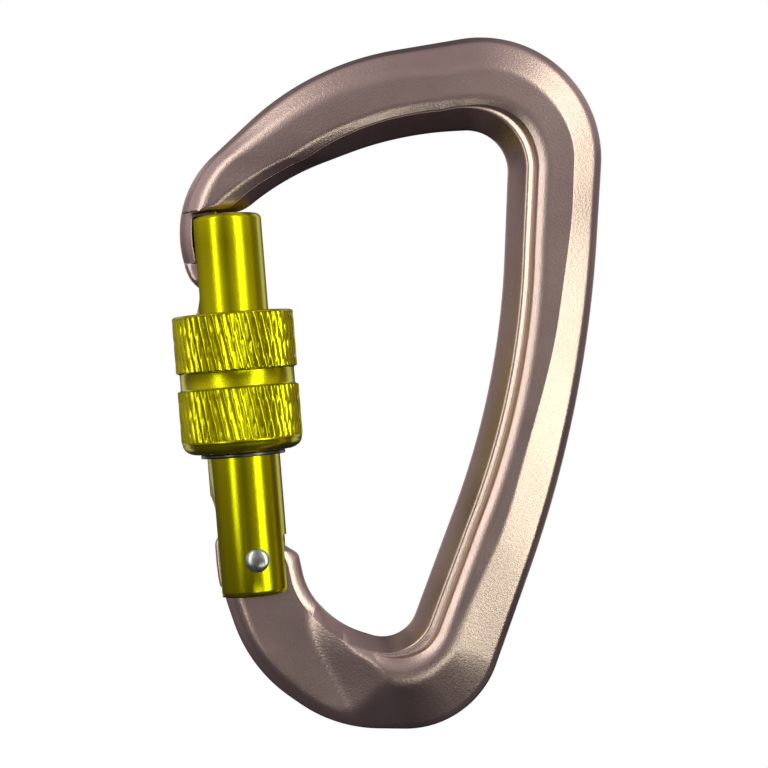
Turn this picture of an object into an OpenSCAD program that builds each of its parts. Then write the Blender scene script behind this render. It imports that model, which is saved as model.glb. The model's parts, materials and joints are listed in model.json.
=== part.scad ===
// Locking carabiner: forged body with a keylock nose, and a screw-lock gate.
// Millimetres. The gate stands along Z at rest, the spine lies towards +X and the
// thickness is along Y. The origin is the bearing point at the top of the inside.

/* [Body] */
// Height of the crown's outside above the hinge pin
crown_height = 71.2; // [68:0.2:78]
// Depth of the heel's outside below the hinge pin
heel_depth = 25.7; // [22:0.1:30]
// Reach of the spine's outside from the hinge pin
spine_reach = 52.8; // [46:0.2:64]
// Width of the bar along the spine
spine_width = 12; // [9:0.1:15]
// Width of the bar under the crown
crown_width = 12.6; // [11:0.1:15]
// Width of the bar at the heel
heel_width = 14; // [11:0.1:16]
// Thickness of the bar along the spine
spine_thickness = 10; // [8:0.1:12]
// Thickness of the bar at the nose end
nose_end_thickness = 6.8; // [6:0.1:8]
// Thickness of the tongue that the gate turns on
tongue_thickness = 3.6; // [3:0.1:4.4]

/* [Gate] */
// Height of the gate's top above the hinge pin
gate_height = 49.2; // [47:0.2:52]
// Diameter of the gate
gate_diameter = 10.4; // [9.8:0.1:11.4]
// Depth of the gate's foot below the hinge pin
gate_foot = 5.2; // [4.6:0.1:5.8]
// Distance of the hinge pin from the gate's axis, towards the spine
pin_offset = 1.1; // [0.6:0.05:1.4]
// Diameter of the hinge pin's shank
pin_diameter = 3; // [2.6:0.1:3.4]

/* [Locking sleeve] */
// Length of the sleeve
sleeve_length = 19.8; // [18:0.1:21]
// Diameter over the sleeve's knurl
sleeve_diameter = 17.4; // [16.4:0.1:19.5]
// Pitch of the gate's thread
thread_pitch = 1.8; // [1.4:0.1:2]
// Turns between unlocked and locked
thread_turns = 4; // [3:1:4]

/* [Hidden] */
e = 0.01;

// Clearances
face_gap = 0.15;
running_gap = 0.06;
nose_gap = 0.65;
head_gap = 0.45;
sleeve_gap = 0.3;
thread_gap = 0.2;
seat_gap = 0.05;

// Hinge and gate axis, seen from the bearing point
inside_top = crown_height - crown_width;
pin_x = 21.6 - spine_reach;
pin_z = -inside_top;
gate_r = gate_diameter / 2;
gate_x = -pin_offset;
pin_r = pin_diameter / 2;
tongue_half = tongue_thickness / 2;

// Nose: neck and T-shaped head that stand in the gate's pocket
nose_wall = 1.35;
nose_back = gate_r + nose_wall;
nose_depth = 5.6;
neck_half = 1.1;
flange_half = 2;
head_half = 2.6;
head_corner = 3.2;
head_low = gate_height - 10.6;
head_high = gate_height - 6;
nose_arc_r = 15.5;
nose_arc_z = gate_height - 3.3;
pocket_half = head_half + head_gap;
pocket_low = head_low - 0.6;
pocket_corner = pocket_low + pocket_half - 3;
pocket_high = head_high - head_half + 0.9;
pocket_depth = nose_depth - nose_back + head_gap;

// Gate
slot_half = tongue_half + face_gap;
slot_top = 3.1;
slot_mill_r = 6.3;
slot_mill_x = -2.1;
slot_mill_z = 3.5;
relief_depth = 0.8;
relief_r = 4.6;
relief_z = 7;
bore_r = 2.8;
bore_low = 7.2;
bore_high = 26.5;
edge_round = 0.8;
foot_chamfer = 0.6;
head_r = 1.75;
head_sink = 0.45;
head_dome = 0.6;

// Stop ring and its groove
ring_z = 14.7;
ring_thickness = 0.55;
ring_outer_r = gate_r + 0.85;
groove_r = gate_r - 0.5;
ring_split = 2.2;

// Locking sleeve
sleeve_z = ring_z + ring_thickness + seat_gap;
sleeve_r = sleeve_diameter / 2;
sleeve_bore_r = nose_back + sleeve_gap;
sleeve_bevel = 1.6;
bevel_round = 0.15;
waist_low = 9.2;
waist_high = 11.7;
waist_slope = 0.25;
waist_depth = min(0.5, (sleeve_r - sleeve_bore_r) / 3);
sleeve_chamfer = 0.3;

// Thread
thread_root_r = gate_r + 0.15;
thread_depth = 0.7;
thread_low = sleeve_z + 1.2;
nut_length = 5.6;
thread_travel = thread_pitch * thread_turns;
thread_high = sleeve_z + nut_length + thread_travel + 1.2;
thread_sides = 24;
thread_rows = 8;
// The sleeve's foot is a thin wall round the thread's crest
foot_wall = 0.2;
sleeve_foot_r = thread_root_r + thread_gap + thread_depth + foot_wall;

// Cam on the tongue, plunger and spring
cam_rate = 0.0346;
cam_r = 4.2;
cam_angle = 105;
cam_start = 122;
cam_end = 66;
tip_r = 0.9;
tip_z = 4.36;
stem_r = 1.5;
collar_z = 11;
collar_thickness = 1;
collar_r = bore_r - 0.08;
spigot_r = 1.4;
spigot_height = 2.6;
wire_r = 0.35;
coil_r = 2.15;
coil_turns = 8;
coil_low = collar_z + collar_thickness + wire_r + seat_gap;
coil_high = bore_high - wire_r - seat_gap;

// Body outlines in the plane of the carabiner, seen from the hinge pin.
// Each inner corner faces the outer corner of the same number.
nose_x = gate_x - nose_back + 0.48;
nose_z = gate_height + nose_gap;
outer_corners = [
    [nose_x, nose_z], [nose_x + 1.3, nose_z + 4.9], [nose_x + 20.2, crown_height - 1.6],
    [spine_reach + 3.2, crown_height + 1.9], [spine_reach - 4.6, 17.5], [spine_reach - 24.3, -heel_depth - 1],
    [spine_reach - 43.7, -heel_depth + 0.5], [-2.6, -heel_depth + 9.8], [-6.15, -2.2]];
outer_radii = [nose_arc_r, 62, 19, 237, 19.4, 20, 26];
inner_corners = [
    [gate_x + 2.8, nose_z], [gate_x + 8.4, inside_top - 4.8], [spine_reach - 27.9, inside_top + 0.3],
    [spine_reach - 12.2, inside_top - 0.2], [spine_reach - spine_width - 4.6, 21.6],
    [spine_reach - 33.2, heel_width - heel_depth - 2.4], [spine_reach - 42.1, heel_width - heel_depth + 1.1],
    [6.35, -5.4], [5.6, -2.2]];
inner_radii = [60, 60, 5.9, 200, 6.2, 13.5, 13.5];

// Half thickness of the bar at its start, at each corner and at its end
nose_half = nose_end_thickness / 2;
spine_half = spine_thickness / 2;
pad_half = tongue_half - 0.05;
half_thickness = [nose_half, nose_half + 0.4, spine_half - 0.5, spine_half, spine_half, spine_half - 0.4,
    pad_half + 1.6, pad_half, pad_half];
// How far the section has turned from the bar's own into the flat pad's
flatness = [0.5, 0.3, 0, 0, 0, 0, 0.6, 1, 1];

arc_steps = [6, 6, 14, 6, 12, 8, 6];
leg_steps = 3;
arc_share = 0.35;

function unit(v) = v / norm(v);
function mix(a, b, t) = a + (b - a) * t;
function smooth(t) = t * t * (3 - 2 * t);
// Tangent length of a corner's arc, limited by its two legs
function tangent(c, radii, k) =
    let (a = unit(c[k - 1] - c[k]), b = unit(c[k + 1] - c[k]), half = acos(a * b) / 2)
    min(radii[k - 1] / tan(half), 0.5 * norm(c[k - 1] - c[k]) * (k == 1 ? 1.9 : 1),
        0.5 * norm(c[k + 1] - c[k]) * (k == len(radii) ? 1.9 : 1));
// Point at share t of the arc that rounds corner k
function arc_point(c, radii, k, t) =
    let (a = unit(c[k - 1] - c[k]), b = unit(c[k + 1] - c[k]), half = acos(a * b) / 2,
         d = tangent(c, radii, k), r = d * tan(half), centre = c[k] + unit(a + b) * r / sin(half),
         p = c[k] + a * d - centre, q = c[k] + b * d - centre, w = (1 - t) * p + t * q,
         sweep = 180 - 2 * half,
         s1 = sin((1 - t) * sweep) / sin(sweep), s2 = sin(t * sweep) / sin(sweep))
    centre + s1 * p + s2 * q;
// Point at share t of the straight leg before corner k
function leg_point(c, radii, k, t) =
    let (last = len(radii),
         p = k == 1 ? c[0] : arc_point(c, radii, k - 1, 1),
         q = k > last ? c[k] : arc_point(c, radii, k, 0))
    mix(p, q, t);
// Stations along the bar: [position, outer point, inner point]
function stations() = [
    for (k = [1 : len(outer_radii) + 1]) each concat(
        [for (i = [0 : leg_steps - 1]) let (t = i / leg_steps)
            [mix(k == 1 ? 0 : k - 1 + arc_share, k > len(outer_radii) ? k : k - arc_share, t),
             leg_point(outer_corners, outer_radii, k, t), leg_point(inner_corners, inner_radii, k, t)]],
        k > len(outer_radii)
            ? [[k, outer_corners[k], inner_corners[k]]]
            : [for (i = [0 : arc_steps[k - 1] - 1]) let (t = i / arc_steps[k - 1])
                [mix(k - arc_share, k + arc_share, t),
                 arc_point(outer_corners, outer_radii, k, t), arc_point(inner_corners, inner_radii, k, t)]])];
function along(values, u) =
    let (k = min(floor(u), len(values) - 2)) mix(values[k], values[k + 1], smooth(u - k));

// Half of the bar's section from its outer edge to its inner edge: rim, slope, flat and round inside
round_steps = 7;
function half_section(w, h, f) =
    let (rim = mix(0.34 * h, h - 0.8, f), slope = mix(0.36 * w, 0.9, f), inside = mix(0.42 * w, 1.3, f),
         low = mix(0.2, h - 1.3, f))
    concat([[0, rim], [mix(0.5, 0.25, f), mix(rim, h, 0.3)], [slope, h]],
        [for (i = [0 : round_steps]) let (a = 90 * i / round_steps)
            [w - inside + inside * sin(a), low + (h - low) * cos(a)]]);
function ring(s) =
    let (o = s[1], w = norm(s[2] - s[1]), d = unit(s[2] - s[1]),
         half = half_section(w, along(half_thickness, s[0]), along(flatness, s[0])), n = len(half))
    concat([for (p = half) let (q = o + d * p[0]) [q[0], -p[1], q[1]]],
        [for (i = [n - 1 : -1 : 0]) let (p = half[i], q = o + d * p[0]) [q[0], p[1], q[1]]]);

// Closed skin over a list of rings with equally many points, each anticlockwise about the way the list runs
module skin(rings) {
    n = len(rings[0]);
    m = len(rings);
    polyhedron(
        points = [for (r = rings) each r],
        faces = concat(
            [for (j = [0 : m - 2], i = [0 : n - 1])
                [j * n + i, (j + 1) * n + (i + 1) % n, j * n + (i + 1) % n]],
            [for (j = [0 : m - 2], i = [0 : n - 1])
                [j * n + i, (j + 1) * n + i, (j + 1) * n + (i + 1) % n]],
            [[for (i = [0 : n - 1]) i]],
            [[for (i = [n - 1 : -1 : 0]) (m - 1) * n + i]]));
}

module at_pin() { translate([pin_x, 0, pin_z]) children(); }
module at_gate() { translate([pin_x + gate_x, 0, pin_z]) children(); }
// Prism of a drawing in the plane of the carabiner, centred on the middle plane
module plate(thickness) {
    rotate([90, 0, 0]) translate([0, 0, -thickness / 2]) linear_extrude(thickness) children();
}

// Radius of the spiral cam on the tongue: it grows steadily as the gate opens
function cam_radius(a) = cam_r + cam_rate * (cam_angle - a);
// Outline of the tongue: outer edge, shoulder, spiral cam, front and root
function tongue_outline() = concat(
    [[-3.6, -9.5], [-5.1, -6], [-6, -2.4], [-6.2, -0.4], [-6.15, 2.6], [-5.7, 3.5], [-4.8, 3.9]],
    [for (a = [cam_start : -5 : cam_end]) cam_radius(a) * [cos(a), sin(a)]],
    [[2.8, 4.2], [3.1, 2.9], [3.6, 1.7], [4.3, 1.1], [5.1, 0.45]],
    [[5.5, -0.9], [5.65, -2.5], [6, -4], [5.6, -6]]);

// Side of the nose in the plane of the carabiner, seen from the gate's axis
module nose_side() {
    intersection() {
        translate([-nose_back + nose_arc_r, nose_arc_z]) circle(nose_arc_r, $fn = 160);
        translate([-nose_back - 1, head_low]) square([nose_depth + 1, nose_z + 1.5 - head_low]);
        union() {
            translate([-nose_back + head_corner, head_low + head_corner]) circle(head_corner, $fn = 60);
            translate([-nose_back + head_corner, head_low]) square([nose_depth, nose_z + 2 - head_low]);
            translate([-nose_back - 1, head_low + head_corner]) square([nose_depth, nose_z + 2 - head_low]);
        }
    }
}

module nose() {
    at_gate() intersection() {
        plate(4 * flange_half) nose_side();
        translate([0, 0, head_low - 1]) cylinder(nose_z + 4 - head_low, r = nose_back - 0.02, $fn = 120);
        union() {
            translate([-2 * nose_back, -neck_half, head_low])
                cube([4 * nose_back, 2 * neck_half, nose_z + 4 - head_low]);
            difference() {
                translate([-2 * nose_back, -flange_half, head_high - head_half])
                    cube([2 * nose_back, 2 * flange_half, nose_z + 1.4 - head_high + head_half]);
                translate([0, 0, head_low]) cylinder(nose_z - head_low, r = gate_r + sleeve_gap, $fn = 120);
            }
            hull() for (z = [head_low + head_half, head_high - head_half])
                translate([-2 * nose_back, 0, z]) rotate([0, 90, 0])
                    cylinder(2 * nose_back, r = head_half, $fn = 32);
        }
    }
}

module frame() {
    color([0.55, 0.46, 0.44]) difference() {
        union() {
            at_pin() skin([for (s = stations()) ring(s)]);
            at_pin() plate(tongue_thickness) polygon(tongue_outline());
            nose();
        }
        at_pin() rotate([90, 0, 0]) cylinder(4 * gate_r, r = pin_r + running_gap, center = true, $fn = 48);
    }
}

// Round thread as a grid: the radius follows a cosine of height less turn
module thread(low, high, root_r, inner_r) {
    rows = ceil((high - low) / thread_pitch * thread_rows);
    heights = [for (j = [0 : rows]) mix(low, high, j / rows)];
    inside = [for (i = [0 : thread_sides - 1]) let (a = 360 * i / thread_sides) inner_r * [cos(a), sin(a)]];
    skin(concat(
        [[for (p = inside) [p[0], p[1], low]]],
        [for (z = heights) [for (i = [0 : thread_sides - 1])
            let (a = 360 * i / thread_sides, share = (z - sleeve_z) / thread_pitch * 360 - a,
                 r = root_r + thread_depth * (0.5 + 0.5 * cos(share)))
            [r * cos(a), r * sin(a), z]]],
        [[for (p = inside) [p[0], p[1], high]]]));
}

module barrel_outline() {
    square([gate_r - edge_round, gate_height]);
    square([gate_r, gate_height - edge_round]);
    translate([gate_r - edge_round, gate_height - edge_round]) circle(edge_round, $fn = 40);
    translate([0, foot_chamfer - gate_foot]) square([gate_r, gate_foot]);
    translate([0, -gate_foot])
        polygon([[0, 0], [gate_r - foot_chamfer, 0], [gate_r, foot_chamfer], [0, foot_chamfer]]);
}

module gate_barrel() {
    color([0.62, 0.60, 0.05]) at_gate() difference() {
        union() {
            rotate_extrude($fn = 96) barrel_outline();
            thread(thread_low, thread_high, thread_root_r, gate_r - 0.3);
        }
        // Bore for the spring and the plunger
        translate([0, 0, bore_low]) cylinder(bore_high - bore_low, r = bore_r, $fn = 64);
        // Slot for the tongue: cut by a disc from the outer side, and right across at the foot
        plate(2 * slot_half) union() {
            translate([slot_mill_x, slot_mill_z]) circle(slot_mill_r, $fn = 120);
            translate([-2 * gate_r, -gate_foot - 1]) square([4 * gate_r, slot_top + gate_foot + 1]);
            translate([-2 * gate_r, 0]) square([2 * gate_r + slot_mill_x, slot_mill_z]);
        }
        // Relief down the outer side of the foot, run out by a round cutter
        plate(4 * gate_r) translate([relief_depth - relief_r - gate_r, relief_z]) union() {
            circle(relief_r, $fn = 120);
            translate([-relief_r, -relief_z - gate_foot - 1])
                square([2 * relief_r, relief_z + gate_foot + 1]);
        }
        // Groove for the stop ring
        translate([0, 0, ring_z - seat_gap]) difference() {
            cylinder(ring_thickness + 2 * seat_gap, r = 2 * gate_r, $fn = 96);
            translate([0, 0, -e]) cylinder(ring_thickness + 1, r = groove_r, $fn = 96);
        }
        // Keylock pocket with round ends, and the neck's slot above it
        for (z = [pocket_corner, pocket_high]) translate([-2 * gate_r, 0, z]) rotate([0, 90, 0])
            cylinder(2 * gate_r + pocket_depth, r = pocket_half, $fn = 64);
        translate([-2 * gate_r, -pocket_half, pocket_corner])
            cube([2 * gate_r + pocket_depth, 2 * pocket_half, pocket_high - pocket_corner]);
        translate([-2 * gate_r, -neck_half - head_gap / 2, pocket_high])
            cube([2 * gate_r + pocket_depth, 2 * neck_half + head_gap, gate_height]);
        // Hole and head seats for the hinge pin
        translate([pin_offset, 0, 0]) rotate([90, 0, 0])
            cylinder(4 * gate_r, r = pin_r, center = true, $fn = 48);
        for (side = [-1, 1]) translate([pin_offset, side * (gate_r - head_sink), 0])
            rotate([-90 * side, 0, 0]) cylinder(gate_r, r = head_r, $fn = 48);
    }
}

module sleeve_outline() {
    polygon([
        [1, 0], [sleeve_foot_r, 0],
        [sleeve_r - bevel_round, sleeve_bevel], [sleeve_r, sleeve_bevel + 2 * bevel_round],
        [sleeve_r, waist_low], [sleeve_r - waist_depth, waist_low + waist_slope],
        [sleeve_r - waist_depth, waist_high - waist_slope], [sleeve_r, waist_high],
        [sleeve_r, sleeve_length - sleeve_chamfer], [sleeve_r - sleeve_chamfer, sleeve_length],
        [sleeve_bore_r + sleeve_chamfer, sleeve_length], [sleeve_bore_r, sleeve_length - sleeve_chamfer],
        [sleeve_bore_r, nut_length], [1, nut_length]]);
}

module locking_sleeve() {
    color([0.66, 0.64, 0.05]) at_gate() difference() {
        translate([0, 0, sleeve_z]) rotate_extrude($fn = 96) sleeve_outline();
        thread(sleeve_z - 1, sleeve_z + nut_length + 1, thread_root_r + thread_gap, 0.2);
    }
}

module stop_ring() {
    color([0.2, 0.2, 0.2]) at_gate() difference() {
        translate([0, 0, ring_z]) cylinder(ring_thickness, r = ring_outer_r, $fn = 96);
        cylinder(gate_height, r = groove_r + seat_gap, $fn = 96);
        translate([0, -ring_split / 2, ring_z - 1]) cube([2 * ring_outer_r, ring_split, ring_thickness + 2]);
    }
}

module hinge_pin() {
    dome_r = (head_r * head_r + head_dome * head_dome) / (2 * head_dome);
    color([0.75, 0.75, 0.78]) at_pin() rotate([90, 0, 0]) rotate_extrude($fn = 64) {
        translate([0, head_sink - gate_r]) square([pin_r, 2 * (gate_r - head_sink)]);
        for (side = [0, 1]) mirror([0, side]) intersection() {
            translate([0, gate_r - head_sink]) square([head_r - 0.02, head_sink + head_dome]);
            translate([0, gate_r + head_dome - dome_r]) circle(dome_r, $fn = 96);
        }
    }
}

module return_spring() {
    steps = coil_turns * 14;
    rise = (coil_high - coil_low) / steps;
    color([0.7, 0.7, 0.72]) at_gate() skin([for (j = [0 : steps])
        let (a = j * 360 * coil_turns / steps)
        [for (i = [0 : 7]) let (b = -i * 45, r = coil_r + wire_r * cos(b))
            [r * cos(a), r * sin(a), coil_low + j * rise + wire_r * sin(b)]]]);
}

module plunger() {
    color([0.72, 0.68, 0.45]) at_gate() rotate_extrude($fn = 64) {
        intersection() {
            translate([0, tip_z + tip_r]) circle(tip_r, $fn = 48);
            square([stem_r, 4 * tip_z]);
        }
        polygon([[0, tip_z + tip_r], [tip_r, tip_z + tip_r], [stem_r, tip_z + 2 * tip_r],
                 [stem_r, collar_z], [collar_r, collar_z], [collar_r, collar_z + collar_thickness],
                 [spigot_r, collar_z + collar_thickness],
                 [spigot_r, collar_z + collar_thickness + spigot_height],
                 [0, collar_z + collar_thickness + spigot_height]]);
    }
}

frame();
gate_barrel();
locking_sleeve();
stop_ring();
hinge_pin();
return_spring();
plunger();
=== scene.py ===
import json
import math

import bmesh
import bpy
import numpy as np
from mathutils import Matrix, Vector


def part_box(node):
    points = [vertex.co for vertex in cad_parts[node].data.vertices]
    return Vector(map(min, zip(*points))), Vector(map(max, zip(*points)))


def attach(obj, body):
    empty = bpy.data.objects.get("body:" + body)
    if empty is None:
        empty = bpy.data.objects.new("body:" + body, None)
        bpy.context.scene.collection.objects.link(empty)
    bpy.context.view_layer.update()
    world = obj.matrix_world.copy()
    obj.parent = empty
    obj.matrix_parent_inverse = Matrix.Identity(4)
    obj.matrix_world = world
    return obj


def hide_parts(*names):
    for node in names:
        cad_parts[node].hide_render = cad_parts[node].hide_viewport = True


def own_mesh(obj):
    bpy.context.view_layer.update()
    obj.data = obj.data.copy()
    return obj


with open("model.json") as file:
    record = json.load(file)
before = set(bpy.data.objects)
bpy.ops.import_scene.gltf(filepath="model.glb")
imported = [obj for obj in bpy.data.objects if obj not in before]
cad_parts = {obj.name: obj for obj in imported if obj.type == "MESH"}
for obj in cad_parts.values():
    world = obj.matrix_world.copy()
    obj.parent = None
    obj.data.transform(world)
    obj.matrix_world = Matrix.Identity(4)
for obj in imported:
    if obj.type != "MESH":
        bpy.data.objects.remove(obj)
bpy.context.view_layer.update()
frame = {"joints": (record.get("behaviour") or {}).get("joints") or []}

# --- Camera, light and floor -------------------------------------------------
# The carabiner hangs by its top basket over a round pale floor, in front of a white sweep.
# Two tall soft boxes stand left and right of the camera and a weak one lies low in front, for the
# face; two more stand behind, for the back.

MM = 0.001
joints = {joint["name"]: joint for joint in frame["joints"]}
pin = np.array(joints["gate_hinge"]["pos_m"])
gate_x = (joints["sleeve_turn"]["pos_m"][0] - pin[0]) / MM
middle = pin + MM * np.array([19.75, 0, 23.33])
view_distance = 285 * MM
roll = math.radians(4.6)


def aim(thing, place, target, up=(0, 0, 1)):
    """Puts a lamp or camera at place, looking at target: its Z axis points back along the line of sight,
    its X axis is up crossed with Z, and its Y axis completes the right-handed set."""
    back = np.array(place, float) - np.array(target, float)
    back /= np.linalg.norm(back)
    across = np.cross(up, back)
    across /= np.linalg.norm(across)
    axes = np.column_stack([across, np.cross(back, across), back, place])
    thing.matrix_world = Matrix(axes.tolist() + [[0, 0, 0, 1]])


camera_data = bpy.data.cameras.new("camera")
camera_data.lens = 93.3
camera_data.clip_start = 0.01
camera = bpy.data.objects.new("camera", camera_data)
bpy.context.collection.objects.link(camera)
aim(camera, middle - [0, view_distance, 0], middle, up=(math.sin(roll), 0, math.cos(roll)))
bpy.context.scene.camera = camera
bpy.context.scene.view_settings.view_transform = "Standard"


def soft_box(name, place, width, height, power, tint=(1, 1, 1), lean=0):
    """A rectangular area lamp facing the middle of the carabiner, hidden from the camera; a positive lean
    turns its upper end to the camera's left, in degrees."""
    lamp = bpy.data.lights.new(name, "AREA")
    lamp.shape = "RECTANGLE"
    lamp.size, lamp.size_y = width, height
    lamp.energy = power
    lamp.color = tint
    thing = bpy.data.objects.new(name, lamp)
    bpy.context.collection.objects.link(thing)
    tilt = math.radians(lean)
    aim(thing, middle + np.array(place), middle, up=(-math.sin(tilt), 0, math.cos(tilt)))
    thing.visible_camera = False


soft_box("left_box", (-0.385, -0.53, 0.18), 0.16, 0.76, 1.35, (0.88, 1.0, 0.82))
soft_box("right_box", (0.45, -0.475, 0.05), 0.24, 0.88, 2.8, (0.85, 1.0, 0.76), 12)
soft_box("low_box", (0.17, -0.55, -0.29), 0.3, 0.1, 0.32, (0.9, 1.0, 0.82))
soft_box("left_back_box", (-0.45, 0.45, 0.05), 0.22, 0.80, 0.45)
soft_box("right_back_box", (0.45, 0.45, 0.05), 0.26, 0.80, 0.55)

world = bpy.data.worlds.new("studio")
bpy.context.scene.world = world
world.use_nodes = True
sky = world.node_tree.nodes
sky.clear()
wire = world.node_tree.links.new


def sky_range(source, from_low, from_high, to_low, to_high):
    """The source value carried in proportion from one span to another, and held at its ends."""
    node = sky.new("ShaderNodeMapRange")
    spans = {"From Min": from_low, "From Max": from_high, "To Min": to_low, "To Max": to_high}
    for label, value in spans.items():
        node.inputs[label].default_value = value
    wire(source, node.inputs["Value"])
    return node.outputs["Result"]


# The camera sees plain white. The metal reflects a grey room: dark below, light overhead, and dimmer
# towards the middle plane and behind the carabiner.
direction, split = sky.new("ShaderNodeTexCoord"), sky.new("ShaderNodeSeparateXYZ")
wire(direction.outputs["Generated"], split.inputs["Vector"])
room_shade = sky.new("ShaderNodeValToRGB")
ramp = room_shade.color_ramp
ramp.elements[0].position, ramp.elements[0].color = 0.28, (0.1, 0.092, 0.105, 1)
ramp.elements[1].position, ramp.elements[1].color = 0.61, (0.74, 0.71, 0.71, 1)
ramp.elements.new(0.5).color = (0.36, 0.335, 0.345, 1)
wire(sky_range(split.outputs["Z"], -1, 1, 0, 1), room_shade.inputs["Fac"])
to_side, dimmed = sky.new("ShaderNodeMath"), sky.new("ShaderNodeMath")
to_side.operation, dimmed.operation = "ABSOLUTE", "MULTIPLY"
wire(split.outputs["X"], to_side.inputs[0])
wire(sky_range(to_side.outputs["Value"], 0.04, 0.32, 0.42, 1), dimmed.inputs[0])
wire(sky_range(split.outputs["Y"], -0.1, 0.5, 1, 0.34), dimmed.inputs[1])
room, sweep = sky.new("ShaderNodeBackground"), sky.new("ShaderNodeBackground")
wire(room_shade.outputs["Color"], room.inputs["Color"])
wire(dimmed.outputs["Value"], room.inputs["Strength"])
sweep.inputs["Color"].default_value = (1, 1, 1, 1)
ray, choose = sky.new("ShaderNodeLightPath"), sky.new("ShaderNodeMixShader")
wire(ray.outputs["Is Camera Ray"], choose.inputs["Fac"])
wire(room.outputs["Background"], choose.inputs[1])
wire(sweep.outputs["Background"], choose.inputs[2])
wire(choose.outputs["Shader"], sky.new("ShaderNodeOutputWorld").inputs["Surface"])


def grid(name, points, close_rows=False, close_columns=True, caps=False, sharp=30):
    """A mesh over a grid of points, rows by columns by 3, in millimetres from the hinge pin.
    Neighbouring points make quads; rows or columns may close into a loop, and caps are single faces
    over the first and last row. Edges that bend by more than sharp degrees are left hard."""
    rows, columns = points.shape[:2]
    i, j = np.meshgrid(np.arange(rows if close_rows else rows - 1),
                       np.arange(columns if close_columns else columns - 1), indexing="ij")
    a, b = i * columns + j, i * columns + (j + 1) % columns
    c, d = (i + 1) % rows * columns + (j + 1) % columns, (i + 1) % rows * columns + j
    faces = np.stack([a, b, c, d], -1).reshape(-1, 4).tolist()
    if caps:
        faces += [list(range(columns)), list(range((rows - 1) * columns, rows * columns))]
    mesh = bpy.data.meshes.new(name)
    mesh.from_pydata((pin + MM * points.reshape(-1, 3)).tolist(), [], faces)
    form = bmesh.new()
    form.from_mesh(mesh)
    bmesh.ops.recalc_face_normals(form, faces=form.faces)
    form.to_mesh(mesh)
    form.free()
    finish_mesh(mesh, sharp)
    piece = bpy.data.objects.new(name, mesh)
    bpy.context.collection.objects.link(piece)
    return piece


def finish_mesh(mesh, sharp):
    """Smooth shading, with hard edges where two faces meet at more than sharp degrees."""
    mesh.polygons.foreach_set("use_smooth", np.ones(len(mesh.polygons), bool))
    mesh.set_sharp_from_angle(angle=math.radians(sharp))


def material(name, colour, metal, rough):
    """A material with a Principled shader; returns it with its nodes, its links and that shader."""
    made = bpy.data.materials.new(name)
    made.use_nodes = True
    nodes, links = made.node_tree.nodes, made.node_tree.links
    shader = nodes["Principled BSDF"]
    shader.inputs["Base Color"].default_value = (*colour, 1)
    shader.inputs["Metallic"].default_value = metal
    shader.inputs["Roughness"].default_value = rough
    return made, nodes, links, shader


def mottled(name, colour, metal, scale, low, high):
    """A material whose roughness drifts between low and high with a noise of the given scale over Object
    coordinates, in turns to the metre; returns it with its shader."""
    made, nodes, links, shader = material(name, colour, metal, low)
    place = nodes.new("ShaderNodeTexCoord")
    noise = nodes.new("ShaderNodeTexNoise")
    noise.inputs["Scale"].default_value = scale
    spread = nodes.new("ShaderNodeMapRange")
    spread.inputs["To Min"].default_value = low
    spread.inputs["To Max"].default_value = high
    links.new(place.outputs["Object"], noise.inputs["Vector"])
    links.new(noise.outputs["Fac"], spread.inputs["Value"])
    links.new(spread.outputs["Result"], shader.inputs["Roughness"])
    return made, shader


floor_turn = np.linspace(0, 2 * math.pi, 96, endpoint=False)
floor_rim = np.stack([np.cos(floor_turn), np.sin(floor_turn), np.zeros(96)], -1)
floor_radius, floor_drop = 1700, 420
floor = grid("floor", np.stack([0.001 * floor_rim, floor_radius * floor_rim]) - [0, 0, floor_drop])
floor_paint, floor_shader = mottled("pale_floor", (0.86, 0.86, 0.86), 0, 40, 0.62, 0.78)
floor_shader.inputs["Emission Color"].default_value = (1, 1, 1, 1)
floor_shader.inputs["Emission Strength"].default_value = 0.25
floor.data.materials.append(floor_paint)
floor.visible_glossy = False

# --- Body ---------------------------------------------------------------------
# Hot-forged 7000-series aluminium bar bent into a skewed D, trimmed and bead-blasted before anodising.
# A broad bevel runs round its outside, a narrow ledge round its inside, and the lower end is
# flattened into a pad that carries the hinge tongue.

nose_back, nose_top = 6.55, 49.65
nose_arc_r, nose_arc_z = 15.5, 45.9
crown, heel, spine = 71.2, 25.7, 52.8
outer_corners = np.array([
    [gate_x - nose_back + 0.48, nose_top], [gate_x - nose_back + 1.78, nose_top + 4.9],
    [gate_x - nose_back + 20.68, crown - 1.6], [spine + 3.2, crown + 1.9], [spine - 4.6, 17.5],
    [spine - 24.3, -heel - 1], [spine - 43.7, -heel + 0.5], [-2.6, -heel + 9.8], [-6.15, -2.2], [-5.9, 3.1]])
outer_radii = [nose_arc_r, 62, 19, 237, 19.4, 20, 26, 40]
inner_corners = np.array([
    [gate_x + 2.8, nose_top], [gate_x + 8.4, crown - 17.4], [spine - 27.9, crown - 12.3],
    [spine - 12.2, crown - 12.8], [spine - 16.6, 21.6], [spine - 33.2, -heel + 11.6],
    [spine - 42.1, -heel + 15.1], [6.35, -5.4], [5.6, 0.1], [3.4, 1.7]])
inner_radii = [60, 60, 5.9, 200, 6.2, 13.5, 13.5, 1.3]


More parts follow.
